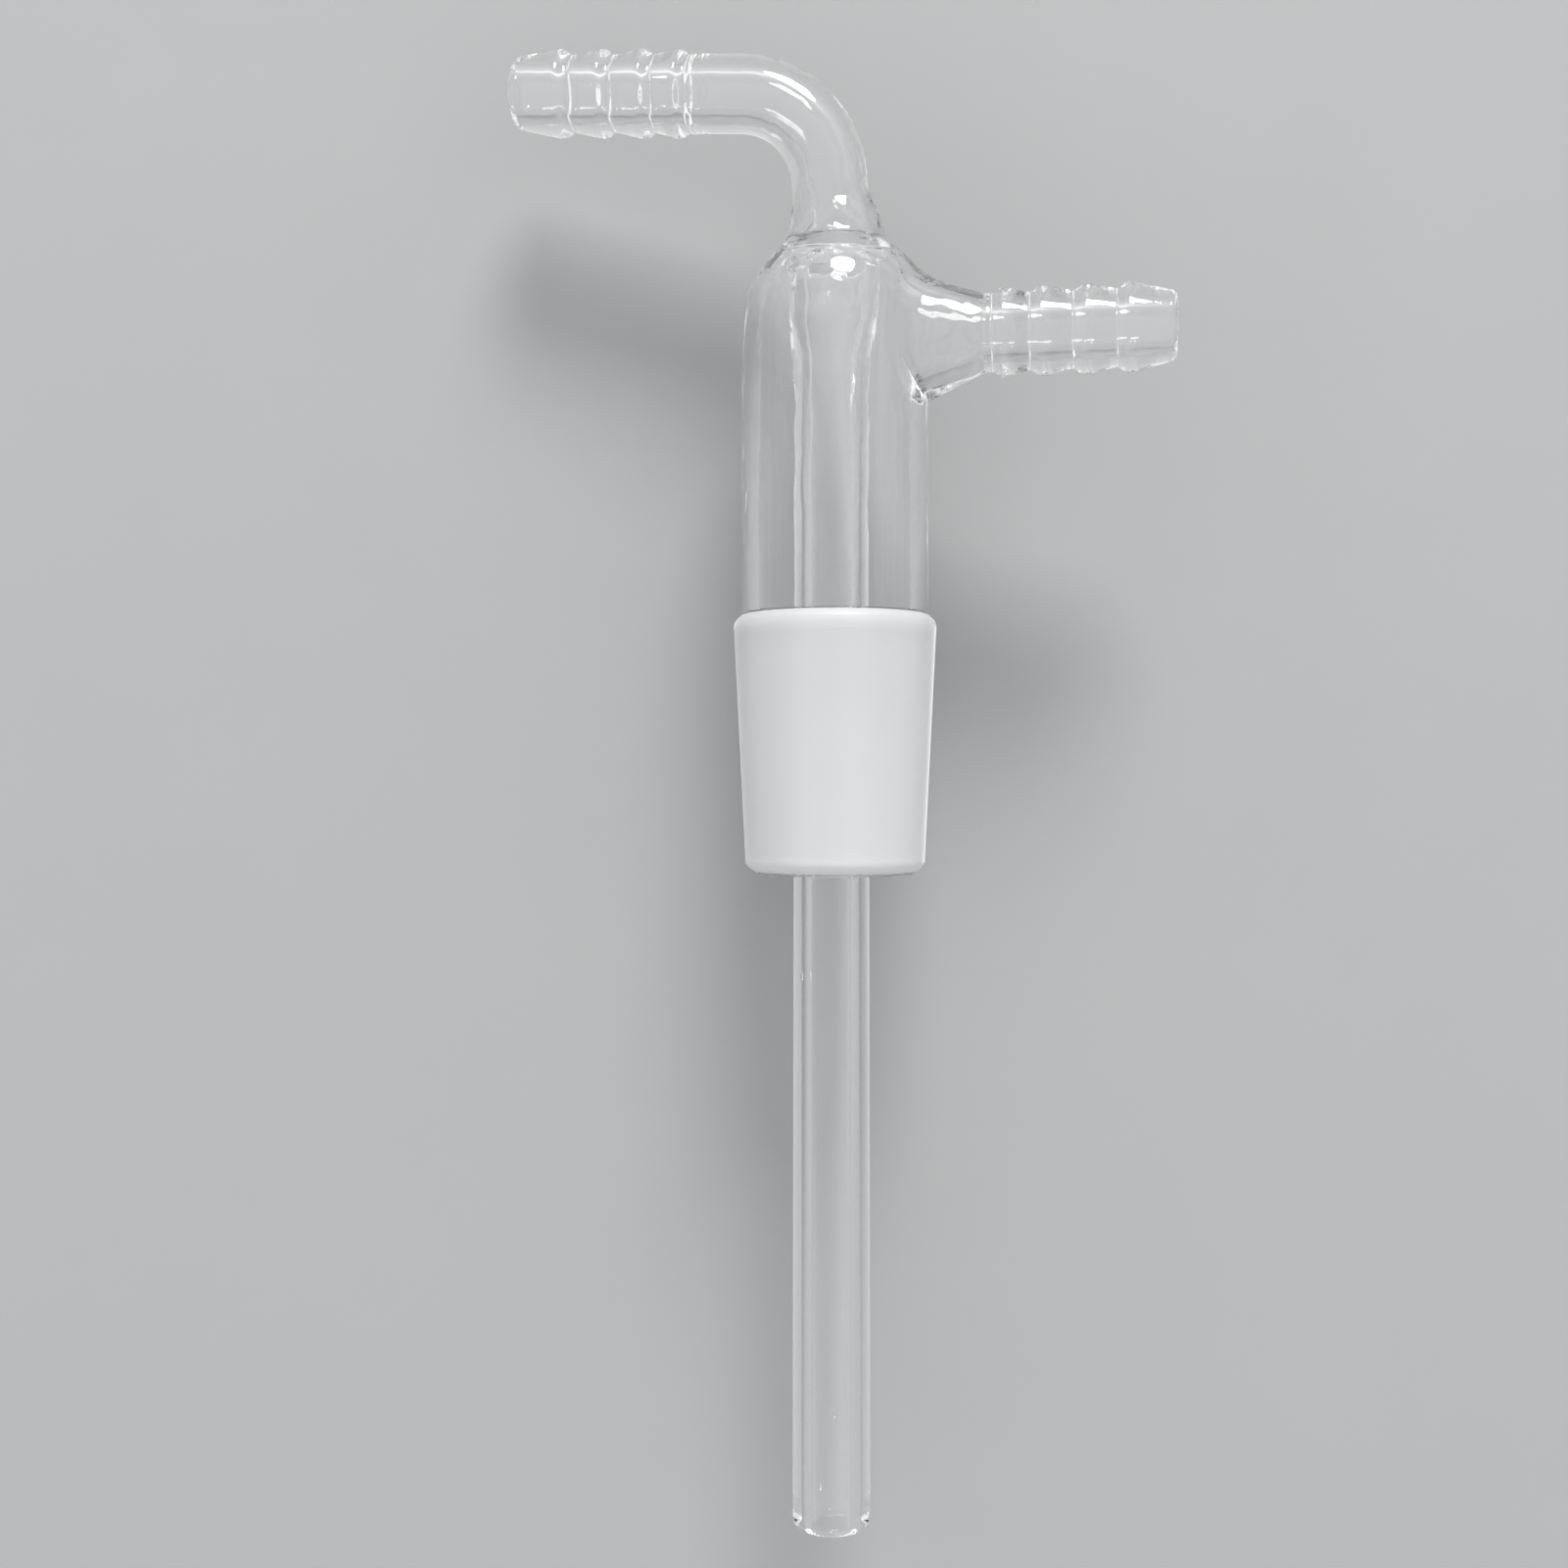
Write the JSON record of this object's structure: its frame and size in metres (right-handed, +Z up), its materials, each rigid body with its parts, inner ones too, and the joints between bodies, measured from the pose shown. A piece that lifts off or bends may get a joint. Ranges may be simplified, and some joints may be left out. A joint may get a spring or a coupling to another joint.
{
  "type": "gas inlet and outlet adapter head",
  "caption": "Glass gas-washing head: ground cone below a domed tube, dip tube sealed through the top, bent inlet and side outlet with serrated hose connections.",
  "frame": {"origin": "centre of the ground cone's wide end, on its axis", "axes": "+Z up the body's axis towards the inlet, +X towards the side arm, -X along the inlet's hose connection"},
  "size_m": [0.0791, 0.024, 0.1766],
  "materials": {
    "clear_glass": "clear borosilicate glass, fire-polished",
    "ground_glass": "finely ground borosilicate glass, matt white"
  },
  "bodies": {
    "root": {"ground_cone": "ground_glass", "body_tube": "clear_glass", "ring_seal": "clear_glass", "dip_tube": "clear_glass", "inlet_bend": "clear_glass", "inlet_hose_barb": "clear_glass", "side_arm": "clear_glass", "outlet_hose_barb": "clear_glass"}
  },
  "joints": []
}
